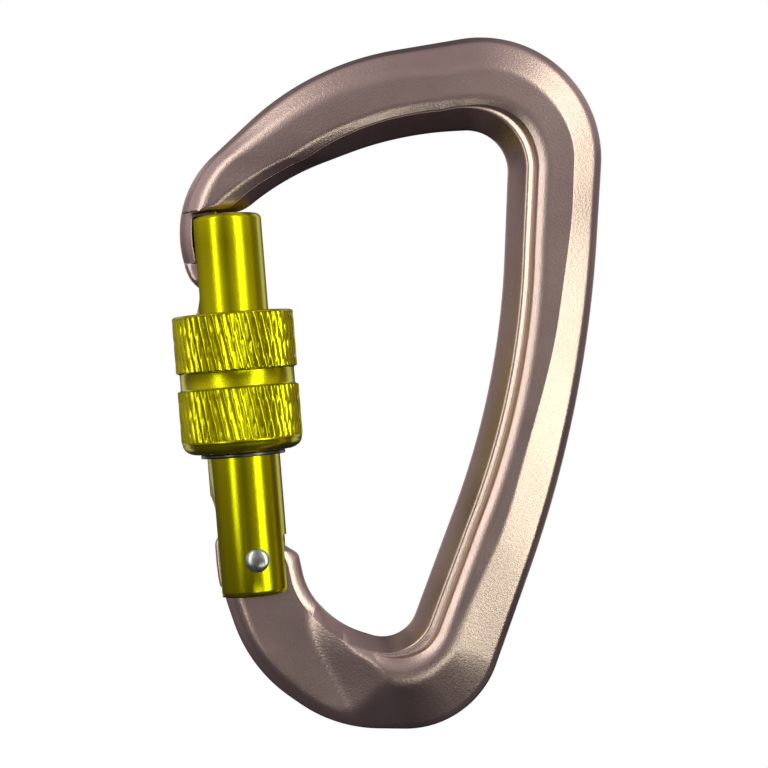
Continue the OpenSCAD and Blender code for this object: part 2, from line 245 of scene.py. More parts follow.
def along_outline(corners, radii, place):
    """Points of a line rounded by tangent arcs. The whole numbers of place are the corners: from k - 0.35 to
    k + 0.35 it runs along the arc of corner k, at an even rate, and between arcs along the straight leg.
    An arc's tangent length is its radius over the tangent of half the corner's angle, limited by its legs."""
    last, share = len(radii), 0.35
    found = np.zeros((len(place), 2))
    ends = [corners[0]]
    arcs = []
    for k in range(1, last + 1):
        a, b = corners[k - 1] - corners[k], corners[k + 1] - corners[k]
        reach_a = np.linalg.norm(a) * (0.95 if k == 1 else 0.5)
        reach_b = np.linalg.norm(b) * (0.95 if k == last else 0.5)
        a, b = a / np.linalg.norm(a), b / np.linalg.norm(b)
        half = math.acos(a @ b) / 2
        tangent = min(radii[k - 1] / math.tan(half), reach_a, reach_b)
        radius = tangent * math.tan(half)
        centre = corners[k] + (a + b) / np.linalg.norm(a + b) * radius / math.sin(half)
        p, q = corners[k] + a * tangent - centre, corners[k] + b * tangent - centre
        arcs.append((centre, p, q, math.pi - 2 * half))
        ends += [centre + p, centre + q]
    ends.append(corners[-1])
    for k in range(1, last + 2):
        low = 0 if k == 1 else k - 1 + share
        high = k if k == last + 1 else k - share
        on = (place >= low) & (place <= high)
        t = ((place[on] - low) / (high - low))[:, None]
        found[on] = ends[2 * k - 2] * (1 - t) + ends[2 * k - 1] * t
    for k, (centre, p, q, sweep) in enumerate(arcs, 1):
        on = (place > k - share) & (place < k + share)
        t = ((place[on] - k + share) / (2 * share))[:, None]
        found[on] = centre + (np.sin((1 - t) * sweep) * p + np.sin(t * sweep) * q) / math.sin(sweep)
    return found


def eased(keys, place):
    """Values at place between keys (position, value), each step eased by 3t^2 - 2t^3."""
    where, value = np.array(keys, float).T
    k = np.clip(np.searchsorted(where, place, side="right") - 1, 0, len(where) - 2)
    t = np.clip((place - where[k]) / (where[k + 1] - where[k]), 0, 1)
    return value[k] + (value[k + 1] - value[k]) * t * t * (3 - 2 * t)


def rounded_profile(corners, radii, steps):
    """Section lines rounded by tangent arcs, for all stations at once. corners is stations by corners by 2,
    radii stations by inner corners, and each inner corner becomes steps + 1 points of its arc."""
    points = [corners[:, :1]]
    for k in range(1, corners.shape[1] - 1):
        a, b = corners[:, k - 1] - corners[:, k], corners[:, k + 1] - corners[:, k]
        long_a, long_b = np.linalg.norm(a, axis=1), np.linalg.norm(b, axis=1)
        a, b = a / long_a[:, None], b / long_b[:, None]
        half = np.arccos(np.clip((a * b).sum(1), -0.9999, 0.9999)) / 2
        tangent = np.minimum(radii[:, k - 1] / np.tan(half), 0.48 * np.minimum(long_a, long_b))
        radius = tangent * np.tan(half)
        middle_way = np.maximum(np.linalg.norm(a + b, axis=1), 1e-9)
        centre = corners[:, k] + (a + b) * (radius / np.sin(half) / middle_way)[:, None]
        p, q = corners[:, k] + a * tangent[:, None] - centre, corners[:, k] + b * tangent[:, None] - centre
        sweep = (math.pi - 2 * half)[:, None, None]
        t = np.linspace(0, 1, steps[k - 1] + 1)[None, :, None]
        swept = np.sin((1 - t) * sweep) * p[:, None] + np.sin(t * sweep) * q[:, None]
        points.append(centre[:, None] + swept / np.sin(sweep))
    points.append(corners[:, -1:])
    return np.concatenate(points, 1)


def bar_section(place, width):
    """Front half of the bar's section at each station, from its outer edge to its inner edge, as distance in
    from the outer edge and height above the middle plane: rim, bevel, flat, shoulder, groove, ledge and
    wall. Each size is eased between its values at places along the bar."""
    high = eased([(0, 3.4), (1, 3.8), (2, 4.5), (3, 5), (4, 5), (5, 4.8), (6, 4.5), (9, 4.5)], place)
    rim = eased([(0, 1.2), (2, 1.6), (3, 2.4), (4.4, 2.1), (5, 1.6), (6, 0.9), (7, 0.5), (9, 0.5)], place)
    bevel = eased([(0, 2.3), (1, 2.7), (2, 3.3), (3, 3.7), (3.5, 3.64), (4.3, 3.35), (5, 2.2), (6, 1.4),
                   (7, 1), (9, 1)], place)
    crease = eased([(0, 2.4), (1, 2.9), (2, 4.3), (2.6, 4.5), (3, 4.6), (3.35, 4.1), (3.5, 4), (3.8, 4.6),
                    (4.2, 5.8), (4.6, 6.8), (5, 7.4), (5.6, 7.8), (6.4, 6.6), (9, 6)], place)
    shoulder = eased([(0, 2), (1, 2.2), (2, 1.6), (2.7, 1.2), (4.6, 1.2), (5.4, 1.6), (6, 1.5), (9, 1)],
                     place)
    drop = eased([(0, 0.9), (1, 0.9), (2, 0.46), (2.7, 0.42), (3, 0.46), (4.6, 0.46), (5.4, 0.7), (6, 0.8),
                  (9, 0.6)], place)
    groove = eased([(0, 0.02), (2.6, 0.02), (3.1, 1), (4.8, 1), (5.5, 0.02), (9, 0.02)], place)
    wall = eased([(0, 1.6), (1, 2.4), (2, 3.1), (2.8, 2.6), (3.3, 2.5), (4.3, 2.4), (5, 2.2), (5.7, 2),
                  (7, 1.9), (9, 1.7)], place)
    inner = eased([(0, 0.8), (2, 0.7), (3, 0.5), (6, 0.5), (7, 0.35), (9, 0.3)], place)
    lip = width - wall
    ledge = high - drop - 0.35 * groove - 0.1
    crease = np.minimum(crease, lip - shoulder - 1.5 * groove - 0.4)
    none = np.zeros_like(place)
    corners = np.stack([
        np.stack([none, none], 1), np.stack([none, rim], 1), np.stack([none + 1, bevel], 1),
        np.stack([crease, high], 1), np.stack([lip - 1.4 * groove - 0.2 - shoulder, high], 1),
        np.stack([lip - 1.4 * groove - 0.2, high - drop], 1),
        np.stack([lip - 0.9 * groove - 0.1, ledge - 0.4 * groove], 1), np.stack([lip, ledge], 1),
        np.stack([width, inner], 1), np.stack([width, none], 1)], 1)
    softness = eased([(0, 6), (2.2, 6), (2.9, 3), (3.3, 0.6), (3.5, 0.3), (3.9, 0.3), (4.4, 2), (4.8, 6),
                      (9, 6)], place)
    edge_r = eased([(0, 1.6), (1, 1.6), (2, 0.8), (3.1, 0.5), (5, 0.5), (5.8, 1.2), (9, 1.2)], place)
    radii = np.stack([none + 0.8, none + 1.2, softness, none + 4, edge_r, none + 0.2, edge_r, none + 1], 1)
    line = rounded_profile(corners, radii, [4, 6, 8, 6, 5, 3, 6, 5])
    share = np.linspace(0, 1, 10)[None, 1:-1, None]
    on_bevel = line[:, 12:13] * (1 - share) + line[:, 13:14] * share
    on_flat = line[:, 21:22] * (1 - share) + line[:, 22:23] * share
    return np.concatenate([line[:, :13], on_bevel, line[:, 13:22], on_flat, line[:, 22:]], 1)


def bar_rings(outer, inner, section):
    """Closed rings of the bar: each section laid from its outer point towards its inner point, in front of
    the middle plane and then back behind it."""
    across = inner - outer
    across /= np.linalg.norm(across, axis=1)[:, None]
    flat = outer[:, None] + across[:, None] * section[..., :1]
    front = np.stack([flat[..., 0], -section[..., 1], flat[..., 1]], -1)
    back = front[:, -2:0:-1] * [1, -1, 1]
    return np.concatenate([front, back], 1)


# Stations lie closest together round the corners: [from, to, how many].
station_runs = [
    (0, 0.65, 4), (0.65, 1.35, 40), (1.35, 1.65, 12), (1.65, 2.35, 30), (2.35, 2.65, 10), (2.65, 3.35, 60),
    (3.35, 3.65, 30), (3.65, 4.35, 44), (4.35, 4.65, 30), (4.65, 5.35, 50), (5.35, 5.65, 14),
    (5.65, 6.35, 44), (6.35, 6.65, 10), (6.65, 7.35, 24), (7.35, 7.65, 6), (7.65, 8.35, 20), (8.35, 9, 6)]
stations = np.concatenate([np.linspace(*run, endpoint=False) for run in station_runs] + [[9]])
outer_line = along_outline(outer_corners, outer_radii, stations)
inner_line = along_outline(inner_corners, inner_radii, stations)
bar_width = np.linalg.norm(inner_line - outer_line, axis=1)
bar = bar_rings(outer_line, inner_line, bar_section(stations, bar_width))

# The end over the gate is rounded off: within a millimetre of it the section shrinks along a quarter circle.
near_end = np.clip(1 - (bar[..., 2] - nose_top) / 0.9, 0, 1) * (stations < 1.3)[:, None]
shrink = (1 - np.sqrt(1 - near_end ** 2)) * np.clip((bar[..., 0] - outer_line[0, 0] - 2) / 2, 0, 1)
bar[..., 1] *= 1 - 0.16 * shrink
bar[..., 0] -= 0.1 * shrink * (bar[..., 0] - outer_line[0, 0])

# The lower end is pressed flat: inside a thumb-shaped border its faces sink to the pad's level, and they
# ramp up beyond it. The border is a smooth curve through a few points of it, x by height.
pad_half, ramp_slope, blend = 1.75, 0.46, 0.12
border_height = np.array([-27, -22.9, -19.6, -17.5, -15.6, -12, -8.7, -5, 0])
border_x = np.array([13.2, 11.2, 9.9, 9.1, 8.1, 6.9, 6.5, 7.6, 9])
border = np.polynomial.Polynomial.fit(border_height, border_x, 5)
beyond = 0.86 * (bar[..., 0] - border(np.clip(bar[..., 2], -27, 0)))
beyond = np.where(stations[:, None] < 4.6, 50, beyond)
pad_level = pad_half + ramp_slope * 0.35 * np.log1p(np.exp(np.clip(beyond / 0.35, -40, 150)))
side = np.abs(bar[..., 1])
pressed = -blend * np.log(np.exp(-side / blend) + np.exp(-pad_level / blend))
bar[..., 1] = np.sign(bar[..., 1]) * np.where(side > 0.5, pressed, side)

# Over the gate's top the outer edge runs on down as a thin strip behind the nose, hollowed to clear the gate.
# Its top sinks into the bar.
strip_low, strip_depth, hollow_r = 42.6, 1.95, 5.3


def nose_arc(heights):
    """Places along X of the nose's round back at the given heights."""
    return gate_x - nose_back + nose_arc_r - np.sqrt(nose_arc_r ** 2 - (heights - nose_arc_z) ** 2)


strip_heights = np.linspace(strip_low, nose_top + 1.5, 32)
strip_corners = np.array([[[0, 0], [0, 1.2], [0.95, 2.28], [strip_depth, 3.04], [strip_depth, 2.6],
                           [strip_depth, 0]]])
strip_half = rounded_profile(strip_corners, np.array([[0.8, 1.2, 0.25, 0.1]]), [4, 6, 4, 3])[0]
strip_half = np.concatenate([strip_half[:-1], np.stack([np.full(6, strip_depth), np.linspace(2.2, 0, 6)], 1)])
strip_ring = np.concatenate([strip_half * [1, -1], strip_half[-2:0:-1]])
hollow = gate_x - np.sqrt(hollow_r ** 2 - strip_ring[:, 1] ** 2)
sinks = np.interp(strip_heights, [nose_top - 0.3, nose_top, nose_top + 1.5], [0, -0.01, 0.15])
strip_x = np.minimum(nose_arc(strip_heights)[:, None] + sinks[:, None] + strip_ring[:, 0], hollow)
strip = np.stack([strip_x, strip_ring[:, 1] * (1 - 0.5 * sinks[:, None]),
                  np.repeat(strip_heights[:, None], len(strip_ring), 1)], -1)
body = grid("body", bar, caps=True, sharp=50)
nose_strip = grid("nose_strip", strip, caps=True, sharp=50)


def group(name, inputs, outputs):
    """An empty shader node group with the named float inputs (with defaults) and outputs."""
    tree = bpy.data.node_groups.new(name, "ShaderNodeTree")
    for label, value in inputs.items():
        tree.interface.new_socket(label, in_out="INPUT", socket_type="NodeSocketFloat").default_value = value
    for label in outputs:
        tree.interface.new_socket(label, in_out="OUTPUT", socket_type="NodeSocketFloat")
    return tree, tree.nodes.new("NodeGroupInput"), tree.nodes.new("NodeGroupOutput")


def blast_and_wear():
    """Bead-blasted, anodised skin: fine noise heights for the blasting, and a slow noise mask where
    handling has polished or dulled the skin."""
    tree, given, result = group("blasted_skin", {"Grain": 3600, "Patch": 90}, ["Height", "Wear"])
    coordinates = tree.nodes.new("ShaderNodeTexCoord")
    fine, coarse, slow = [tree.nodes.new("ShaderNodeTexNoise") for _ in range(3)]
    for noise, detail in ((fine, 2), (coarse, 3), (slow, 4)):
        noise.inputs["Detail"].default_value = detail
        tree.links.new(coordinates.outputs["Object"], noise.inputs["Vector"])
    coarse_scale = tree.nodes.new("ShaderNodeMath")
    coarse_scale.operation = "MULTIPLY"
    coarse_scale.inputs[1].default_value = 1.7
    tree.links.new(given.outputs["Grain"], fine.inputs["Scale"])
    tree.links.new(given.outputs["Grain"], coarse_scale.inputs[0])
    tree.links.new(coarse_scale.outputs["Value"], coarse.inputs["Scale"])
    tree.links.new(given.outputs["Patch"], slow.inputs["Scale"])
    both = tree.nodes.new("ShaderNodeMath")
    both.operation = "ADD"
    tree.links.new(fine.outputs["Fac"], both.inputs[0])
    tree.links.new(coarse.outputs["Fac"], both.inputs[1])
    tree.links.new(both.outputs["Value"], result.inputs["Height"])
    tree.links.new(slow.outputs["Fac"], result.inputs["Wear"])
    return tree


blasted = blast_and_wear()


def anodised(name, dark, light, rough_low, rough_high, grain, bump):
    """Dyed anodised aluminium: a metal whose colour and roughness drift slowly between two values, with
    the blasted skin's grain as a bump."""
    made, nodes, links, shader = material(name, light, 1, rough_low)
    skin = nodes.new("ShaderNodeGroup")
    skin.node_tree = blasted
    skin.inputs["Grain"].default_value = grain
    tone = nodes.new("ShaderNodeMix")
    tone.data_type = "RGBA"
    tone.inputs[6].default_value = (*dark, 1)
    tone.inputs[7].default_value = (*light, 1)
    spread = nodes.new("ShaderNodeMapRange")
    spread.inputs["From Min"].default_value = 0.3
    spread.inputs["From Max"].default_value = 0.7
    spread.inputs["To Min"].default_value = rough_low
    spread.inputs["To Max"].default_value = rough_high
    relief = nodes.new("ShaderNodeBump")
    relief.inputs["Strength"].default_value = bump
    relief.inputs["Distance"].default_value = 0.00004
    links.new(skin.outputs["Wear"], tone.inputs[0])
    links.new(tone.outputs[2], shader.inputs["Base Color"])
    links.new(skin.outputs["Wear"], spread.inputs["Value"])
    links.new(spread.outputs["Result"], shader.inputs["Roughness"])
    links.new(skin.outputs["Height"], relief.inputs["Height"])
    links.new(relief.outputs["Normal"], shader.inputs["Normal"])
    return made


body_skin = anodised("rose_brown_anodised", (0.45, 0.315, 0.305), (0.5, 0.355, 0.345), 0.27, 0.33, 3000, 0.5)


def bar_cutter(name, radius, start, end):
    """A round cutter from start to end, two points on the same axis."""
    start, end = np.array(start, float), np.array(end, float)
    way = (end - start) / np.linalg.norm(end - start)
    side = np.cross(way, [1, 0, 0] if abs(way[0]) < 0.5 else [0, 1, 0])
    turn = np.linspace(0, 2 * math.pi, 96, endpoint=False)[:, None]
    circle = radius * (np.cos(turn) * side + np.sin(turn) * np.cross(way, side))
    return grid(name, np.stack([start + circle, end + circle]), caps=True)


def cut_away(whole, tools, name, sharp):
    """A new object: whole less all the tools, worked out once with exact booleans. The tools and whole are
    removed."""
    for tool in tools:
        cut = whole.modifiers.new(tool.name, "BOOLEAN")
        cut.operation = "DIFFERENCE"
        cut.solver = "EXACT"
        cut.object = tool
    evaluated = whole.evaluated_get(bpy.context.evaluated_depsgraph_get())
    made = bpy.data.objects.new(name, bpy.data.meshes.new_from_object(evaluated))
    bpy.context.collection.objects.link(made)
    finish_mesh(made.data, sharp)
    for spent in tools + [whole]:
        bpy.data.objects.remove(spent)
    return made


rivet_bore = bar_cutter("rivet_bore", 1.56, (0, -8, 0), (0, 8, 0))
body = cut_away(body, [rivet_bore], "body", 50)
for piece in (body, nose_strip):
    piece.data.materials.append(body_skin)
    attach(piece, "frame")
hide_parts("frame")

# --- Nose head ----------------------------------------------------------------
# The T-shaped end of the body that the gate's pocket closes over, forged with the body.
# Its neck is a thin web in the gate's slot; its head is a wide rounded block.

head_low, head_high, head_half, nose_depth = 38.6, 42.8, 2.6, 5.6


def nose_block(name, heights, half_widths, power):
    """A block stacked from rounded rectangles: at each height it reaches from the nose's back arc, rounded
    off at the tip by a 5 mm circle, to its depth in the gate, and its half width is given. Cosine and sine
    raised to a power below 1 fill out the corners."""
    tip_r, tip = 5, np.array([gate_x - nose_back + 5.4, 42.9])
    back = nose_arc(heights)
    under = np.maximum(tip_r ** 2 - (heights - tip[1]) ** 2, 0)
    back = np.where(heights < tip[1], np.maximum(back, tip[0] - np.sqrt(under)), back)
    front = np.full_like(heights, gate_x - nose_back + nose_depth)
    turn = np.linspace(0, 2 * math.pi, 64, endpoint=False)
    cosine, sine = np.cos(turn), np.sin(turn)
    x = np.sign(cosine) * np.abs(cosine) ** power
    y = np.sign(sine) * np.abs(sine) ** power
    centre, half_length = (front + back) / 2, (front - back) / 2
    points = np.stack([centre[:, None] + half_length[:, None] * x, half_widths[:, None] * y,
                       np.repeat(heights[:, None], len(turn), 1)], -1)
    return grid(name, points, caps=True, sharp=60)


head_heights = head_low + (head_high - head_low) * np.linspace(0, 1, 33)
off_low = np.clip((1.8 - (head_heights - head_low)) / 1.8, 0, 1)
off_high = np.clip((0.5 - (head_high - head_heights)) / 0.5, 0, 1)
head_widths = head_half - 1.5 * (1 - np.sqrt(1 - off_low ** 2)) - 0.5 * (1 - np.sqrt(1 - off_high ** 2))
nose_head = nose_block("nose_head", head_heights, head_widths, 0.35)
web = nose_block("nose_web", np.linspace(head_high - 1, nose_top + 1.5, 12), np.full(12, 1.1), 0.2)
for piece in (nose_head, web):
    piece.data.materials.append(body_skin)
    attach(piece, "frame")

# --- Hinge tongue ---------------------------------------------------------------
# The end of the pad, milled flat to run in the gate's slot and drilled for the rivet.
# Its top is a spiral cam that the plunger presses on.

tongue_half, pin_r = 1.72, 1.5
cam_r, cam_rate, cam_middle = 4.2, 0.0346, 105
cam_degrees = np.arange(122, 65, -4)
cam_angles = np.radians(cam_degrees)
cam_radii = cam_r + cam_rate * (cam_middle - cam_degrees)
cam = np.stack([cam_radii * np.cos(cam_angles), cam_radii * np.sin(cam_angles)], 1)
tongue_corners = np.concatenate([
    [[-5.8, -3.8], [-6, -2.4], [-6.1, -0.4], [-6.1, 2.6], [-5.7, 3.5], [-4.8, 3.9]], cam,
    [[2.8, 4.2], [2.9, 2.9], [3, 1.7], [3.2, 0.9], [3.3, 0.3], [3.4, -0.9], [3.4, -2.5], [3.4, -3.8]],
    [[-5.8, -3.8]]])


def tongue_points():
    """A plate with rounded edges round the rivet's hole. At each angle about the pin the outline's radius is
    read off its corner lines; the surface runs from the hole out over the front, round the edge and back."""
    share = np.linspace(0, 1, 24, endpoint=False)[:, None]
    start, end = tongue_corners[:-1, None], tongue_corners[1:, None]
    dense = (start + (end - start) * share).reshape(-1, 2)
    angle = np.unwrap(np.arctan2(dense[:, 1], dense[:, 0]))
    order = np.argsort(-angle)
    turn = np.linspace(angle.min(), angle.min() + 2 * math.pi, 256, endpoint=False)
    radius = np.interp(turn, angle[order][::-1], np.hypot(*dense.T)[order][::-1], period=2 * math.pi)
    kernel = np.hanning(9) / np.hanning(9).sum()
    radius = np.convolve(np.concatenate([radius[-4:], radius, radius[:4]]), kernel, "valid")
    bend = np.radians(np.linspace(0, 90, 6))
    edge = 0.45
    inset = edge * (1 - np.sin(bend))
    inset = np.concatenate([inset, inset[::-1]])
    depth = tongue_half - edge * (1 - np.cos(bend))
    depth = np.concatenate([-depth, depth[::-1]])
    hole = np.full(len(turn), pin_r + 0.06)
    radii = np.concatenate([[hole], radius - inset[:, None], [hole]])
    depths = np.concatenate([[-tongue_half], depth, [tongue_half]])
    depths = np.repeat(depths[:, None], len(turn), 1)
    return np.stack([radii * np.cos(turn), depths, radii * np.sin(turn)], -1)


tongue = grid("hinge_tongue", tongue_points(), close_rows=True, sharp=40)
tongue.data.materials.append(body_skin)
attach(tongue, "frame")

# --- Gate -----------------------------------------------------------------------
# Turned from aluminium bar: a thread for the sleeve, a groove for its stop ring, a keylock pocket
# and a hinge slot milled across it, and a bore for the spring. Anodised yellow-green.

gate_r, gate_height, gate_foot = 5.2, 49.2, 5.2


def heights_of(node):
    """Lowest and highest point of a node of the frame, in millimetres above the hinge pin."""
    return [(corner.z - pin[2]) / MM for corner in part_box(node)]


sleeve_low, sleeve_high = heights_of("locking_sleeve")
ring_low, ring_high = heights_of("stop_ring")
thread_pitch, thread_depth, thread_root = 1.8, 0.7, gate_r + 0.15
thread_low, thread_high = sleeve_low + 1.2, sleeve_low + 14


def turned(radii, heights, turn):
    """Points of a turned surface about the gate's axis: radius and height by row, angle by column."""
    radii = radii if radii.ndim == 2 else np.repeat(radii[:, None], len(turn), 1)
    return np.stack([gate_x + radii * np.cos(turn), radii * np.sin(turn),
                     np.repeat(heights[:, None], len(turn), 1)], -1)


def thread_wave(heights, turn):
    """Round thread: from 0 at the root to 1 at the crest, a cosine of height over pitch less the turn."""
    share = 2 * math.pi * (heights[:, None] - sleeve_low) / thread_pitch - turn
    return 0.5 + 0.5 * np.cos(share)


round_turn = np.linspace(0, 2 * math.pi, 192, endpoint=False)
top_bend = np.radians(np.linspace(0, 90, 8))
lower_radii = np.array([0.02, gate_r - 0.85, gate_r - 0.42, gate_r - 0.13, gate_r, gate_r, gate_r - 0.5,
                        gate_r - 0.5, gate_r, gate_r])
lower_heights = np.array([-gate_foot, -gate_foot, 0.12 - gate_foot, 0.42 - gate_foot, 0.9 - gate_foot,
                          ring_low - 0.05, ring_low - 0.05, ring_high + 0.05, ring_high + 0.05,
                          thread_low - 0.6])
top_round = 0.8
upper_radii = np.concatenate([[gate_r, gate_r], gate_r - top_round * (1 - np.cos(top_bend)), [0.02]])
upper_heights = np.concatenate([[thread_high + 0.6, gate_height - 4],
                                gate_height - top_round * (1 - np.sin(top_bend)), [gate_height]])
thread_heights = np.linspace(thread_low, thread_high, 116)
runout = np.clip(np.minimum(thread_heights - thread_low, thread_high - thread_heights) / 0.5, 0, 1)
thread_radii = thread_root + thread_depth * thread_wave(thread_heights, round_turn) * runout[:, None]
lower = turned(lower_radii, lower_heights, round_turn)
upper = turned(upper_radii, upper_heights, round_turn)
threaded = turned(thread_radii, thread_heights, round_turn)
barrel = grid("gate_barrel_turned", np.concatenate([lower, threaded, upper]), caps=True)


def slot_cutter(name, half, low, high, from_x, to_x, square_low):
    """A milling cut along X: its outline runs round the upper end at high, and round or square at low."""
    upper_end = np.radians(np.linspace(0, 180, 33))
    lower_end = np.radians(np.linspace(180, 360, 33))
    arc = np.stack([half * np.cos(upper_end), high + half * np.sin(upper_end)], 1)
    base = np.array([[-half, low], [half, low]]) if square_low else \
        np.stack([half * np.cos(lower_end), low + half * np.sin(lower_end)], 1)
    outline = np.concatenate([arc, base])
    x = np.array([from_x, to_x])
    points = np.stack([np.repeat(x[:, None], len(outline), 1), np.repeat(outline[None, :, 0], 2, 0),
                       np.repeat(outline[None, :, 1], 2, 0)], -1)
    return grid(name, points, caps=True)


def plate_cutter(name, outline, half):
    """A cutter through the gate's thickness: an outline, x by height, repeated half in front and behind."""
    deep = np.repeat(np.array([[-half], [half]]), len(outline), 1)
    points = np.stack([np.repeat(outline[None, :, 0], 2, 0), deep, np.repeat(outline[None, :, 1], 2, 0)], -1)
    return grid(name, points, caps=True)


def mill_cutter():
    """The hinge slot's cut: a thick disc sunk into the gate from its outer side, joined to a band that runs
    right across the foot. Its outline is the disc's arc between the places where it meets the band's top."""
    centre, mill_r, top, half = np.array([gate_x - 2.1, 3.5]), 6.3, 3.1, 1.95
    arc = np.radians(np.linspace(-3.6, 180, 72))
    outline = np.concatenate([
        [[-14, -gate_foot - 2], [14, -gate_foot - 2], [14, top]],
        centre + mill_r * np.stack([np.cos(arc), np.sin(arc)], 1), [[-14, centre[1]]]])
    return plate_cutter("hinge_slot", outline, half)


def relief_cutter():
    """The cut down the outer side of the gate's foot: a flat face, run out at its top by a round cutter."""
    turn = np.radians(np.linspace(0, 180, 48))
    depth, cutter_r = 0.8, 4.6
    centre = np.array([gate_x - gate_r + depth - cutter_r, 7])
    outline = np.concatenate([[[centre[0] - cutter_r, -9], [centre[0] + cutter_r, -9]],
                              centre + cutter_r * np.stack([np.cos(turn), np.sin(turn)], 1)])
    return plate_cutter("foot_relief", outline, 9)


pocket_end = gate_x - nose_back + nose_depth + 0.45
pocket_half, neck_half, bore_r = 3.05, 1.325, 2.8
cutters = [
    mill_cutter(), relief_cutter(),
    slot_cutter("keylock_pocket", pocket_half, 38.05, 41.5, -12, pocket_end, False),
    slot_cutter("neck_slot", neck_half, 41, gate_height + 3, -12, pocket_end, True),
    bar_cutter("spring_bore", bore_r, (gate_x, 0, 7.2), (gate_x, 0, 26.5)),
    bar_cutter("rivet_hole", pin_r, (0, -8, 0), (0, 8, 0))]
gate = cut_away(barrel, cutters, "gate", 35)
softened = gate.modifiers.new("broken_edges", "BEVEL")
softened.width = 0.07 * MM
softened.segments = 2
softened.limit_method = "ANGLE"
softened.angle_limit = math.radians(50)
softened.use_clamp_overlap = True
softened.harden_normals = True

gate_skin = anodised("yellow_green_anodised", (0.4, 0.36, 0.003), (0.46, 0.415, 0.004), 0.2, 0.27, 3200, 0.22)
gate.data.materials.append(gate_skin)
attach(gate, "gate")
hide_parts("gate_barrel")

# --- Hinge rivet ------------------------------------------------------------------
# Stainless rivet through both ears of the gate and the tongue; its two heads are domed and polished.

head_r, head_rise = 1.7, 0.62
head_seat, head_foot = gate_r - 0.1, gate_r - 0.5
bulge = np.radians(np.linspace(0, 90, 14))[1:]
rivet_radii = np.concatenate([[0.02], head_r * np.sin(bulge), [head_r, pin_r]])
rivet_depths = np.concatenate([[head_seat + head_rise], head_seat + head_rise * np.cos(bulge),
                               [head_foot, head_foot]])
rivet_radii = np.concatenate([rivet_radii, rivet_radii[::-1]])
rivet_depths = np.concatenate([-rivet_depths, rivet_depths[::-1]])
pin_turn = np.linspace(0, 2 * math.pi, 72, endpoint=False)
rivet_points = np.stack([rivet_radii[:, None] * np.cos(pin_turn),
                         np.repeat(rivet_depths[:, None], len(pin_turn), 1),
                         rivet_radii[:, None] * np.sin(pin_turn)], -1)
rivet = grid("hinge_rivet", rivet_points, caps=True, sharp=40)
rivet.data.materials.append(mottled("polished_steel", (0.4, 0.4, 0.4), 1, 1800, 0.16, 0.34)[0])
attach(rivet, "gate")
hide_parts("hinge_pin")

# --- Return spring and plunger ------------------------------------------------------
# A steel coil in the gate's bore pushes a turned brass plunger down on the tongue's cam, which shuts
# the gate. Both are hidden inside the gate, except for what the hinge slot shows.

spring_low, spring_high = heights_of("return_spring")
wire_r, coil_r, coil_turns = 0.35, 2.15, 8
coil_share = np.linspace(0, 1, coil_turns * 40 + 1)
coil_turn = coil_share * coil_turns * 2 * math.pi
# The first and last turns lie flatter than the rest.
from_start, from_end = coil_share * coil_turns, (1 - coil_share) * coil_turns
flattened = coil_share + 0.4 / coil_turns * (np.clip(1 - from_start, 0, 1) ** 2
                                             - np.clip(1 - from_end, 0, 1) ** 2)
coil_height = spring_low + wire_r + (spring_high - spring_low - 2 * wire_r) * np.clip(flattened, 0, 1)
coil_height[0], coil_height[-1] = spring_low + wire_r, spring_high - wire_r
around_wire = np.linspace(0, 2 * math.pi, 12, endpoint=False)
coil_radii = coil_r + wire_r * np.cos(around_wire)
spring_points = np.stack([gate_x + np.cos(coil_turn)[:, None] * coil_radii,
                          np.sin(coil_turn)[:, None] * coil_radii,
                          coil_height[:, None] + wire_r * np.sin(around_wire)], -1)
spring = grid("return_spring_coil", spring_points, caps=True)
spring.data.materials.append(mottled("spring_wire", (0.5, 0.5, 0.52), 1, 900, 0.22, 0.42)[0])
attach(spring, "gate")
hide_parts("return_spring")
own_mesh(spring)

plunger_low = heights_of("plunger")[0]
tip_bend = np.radians(np.linspace(2, 90, 10))
tip_r = 0.9
plunger_radii = np.concatenate([tip_r * np.sin(tip_bend),
                                [1.5, 1.5, 2.6, 2.72, 2.72, 2.6, 1.4, 1.4, 1.2, 0.02]])
plunger_heights = np.concatenate([plunger_low + tip_r * (1 - np.cos(tip_bend)),
                                  [plunger_low + 2 * tip_r, 11, 11, 11.12, 11.88, 12, 12, 14.4, 14.6, 14.6]])
plunger_turn = np.linspace(0, 2 * math.pi, 64, endpoint=False)
plunger = grid("spring_plunger", turned(plunger_radii, plunger_heights, plunger_turn), caps=True)
brass, brass_nodes, brass_links, brass_shader = material("turned_brass", (0.6, 0.42, 0.18), 1, 0.3)
tool_marks = brass_nodes.new("ShaderNodeTexWave")
tool_marks.bands_direction = "Z"
tool_marks.inputs["Scale"].default_value = 2500
tool_place = brass_nodes.new("ShaderNodeTexCoord")
tool_relief = brass_nodes.new("ShaderNodeBump")
tool_relief.inputs["Strength"].default_value = 0.2
tool_relief.inputs["Distance"].default_value = 0.00002
brass_links.new(tool_place.outputs["Object"], tool_marks.inputs["Vector"])
brass_links.new(tool_marks.outputs["Fac"], tool_relief.inputs["Height"])
brass_links.new(tool_relief.outputs["Normal"], brass_shader.inputs["Normal"])
plunger.data.materials.append(brass)
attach(plunger, "plunger")
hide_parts("plunger")

# --- Stop ring ------------------------------------------------------------------
# Split snap ring of dark spring steel in the gate's groove; the sleeve comes down onto it.

